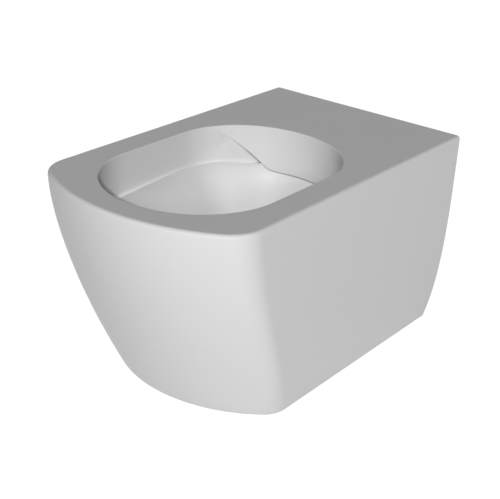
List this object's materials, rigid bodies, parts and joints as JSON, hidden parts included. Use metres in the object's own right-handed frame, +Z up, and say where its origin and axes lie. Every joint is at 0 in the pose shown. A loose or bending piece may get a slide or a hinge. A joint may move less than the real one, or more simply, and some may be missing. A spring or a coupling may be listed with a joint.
{
  "type": "wall hung toilet",
  "caption": "Fully skirted rimless wall hung toilet pan in white glazed china, with its concealed wall studs, insulation mat, flush pipe and waste connector.",
  "frame": {"origin": "midway between the two wall studs, on the wall face behind the insulation mat", "axes": "+X to the right seen from the front, +Y into the wall, +Z up"},
  "size_m": [0.36, 0.683, 0.33],
  "materials": {
    "china": "gloss",
    "foam": "matt",
    "steel": "zinc plated",
    "plastic": "satin",
    "pipe": "satin",
    "seal": "matt"
  },
  "bodies": {
    "root": {"pan": "china", "wall_mat": "foam", "stud_left": "steel", "stud_right": "steel", "sleeve_left": "plastic", "sleeve_right": "plastic", "washer_left": "steel", "washer_right": "steel", "nut_left": "steel", "nut_right": "steel", "nut_cap_left": "plastic", "nut_cap_right": "plastic", "flush_pipe": "pipe", "flush_seal": "seal", "waste_connector": "pipe", "waste_seal": "seal"}
  },
  "joints": []
}
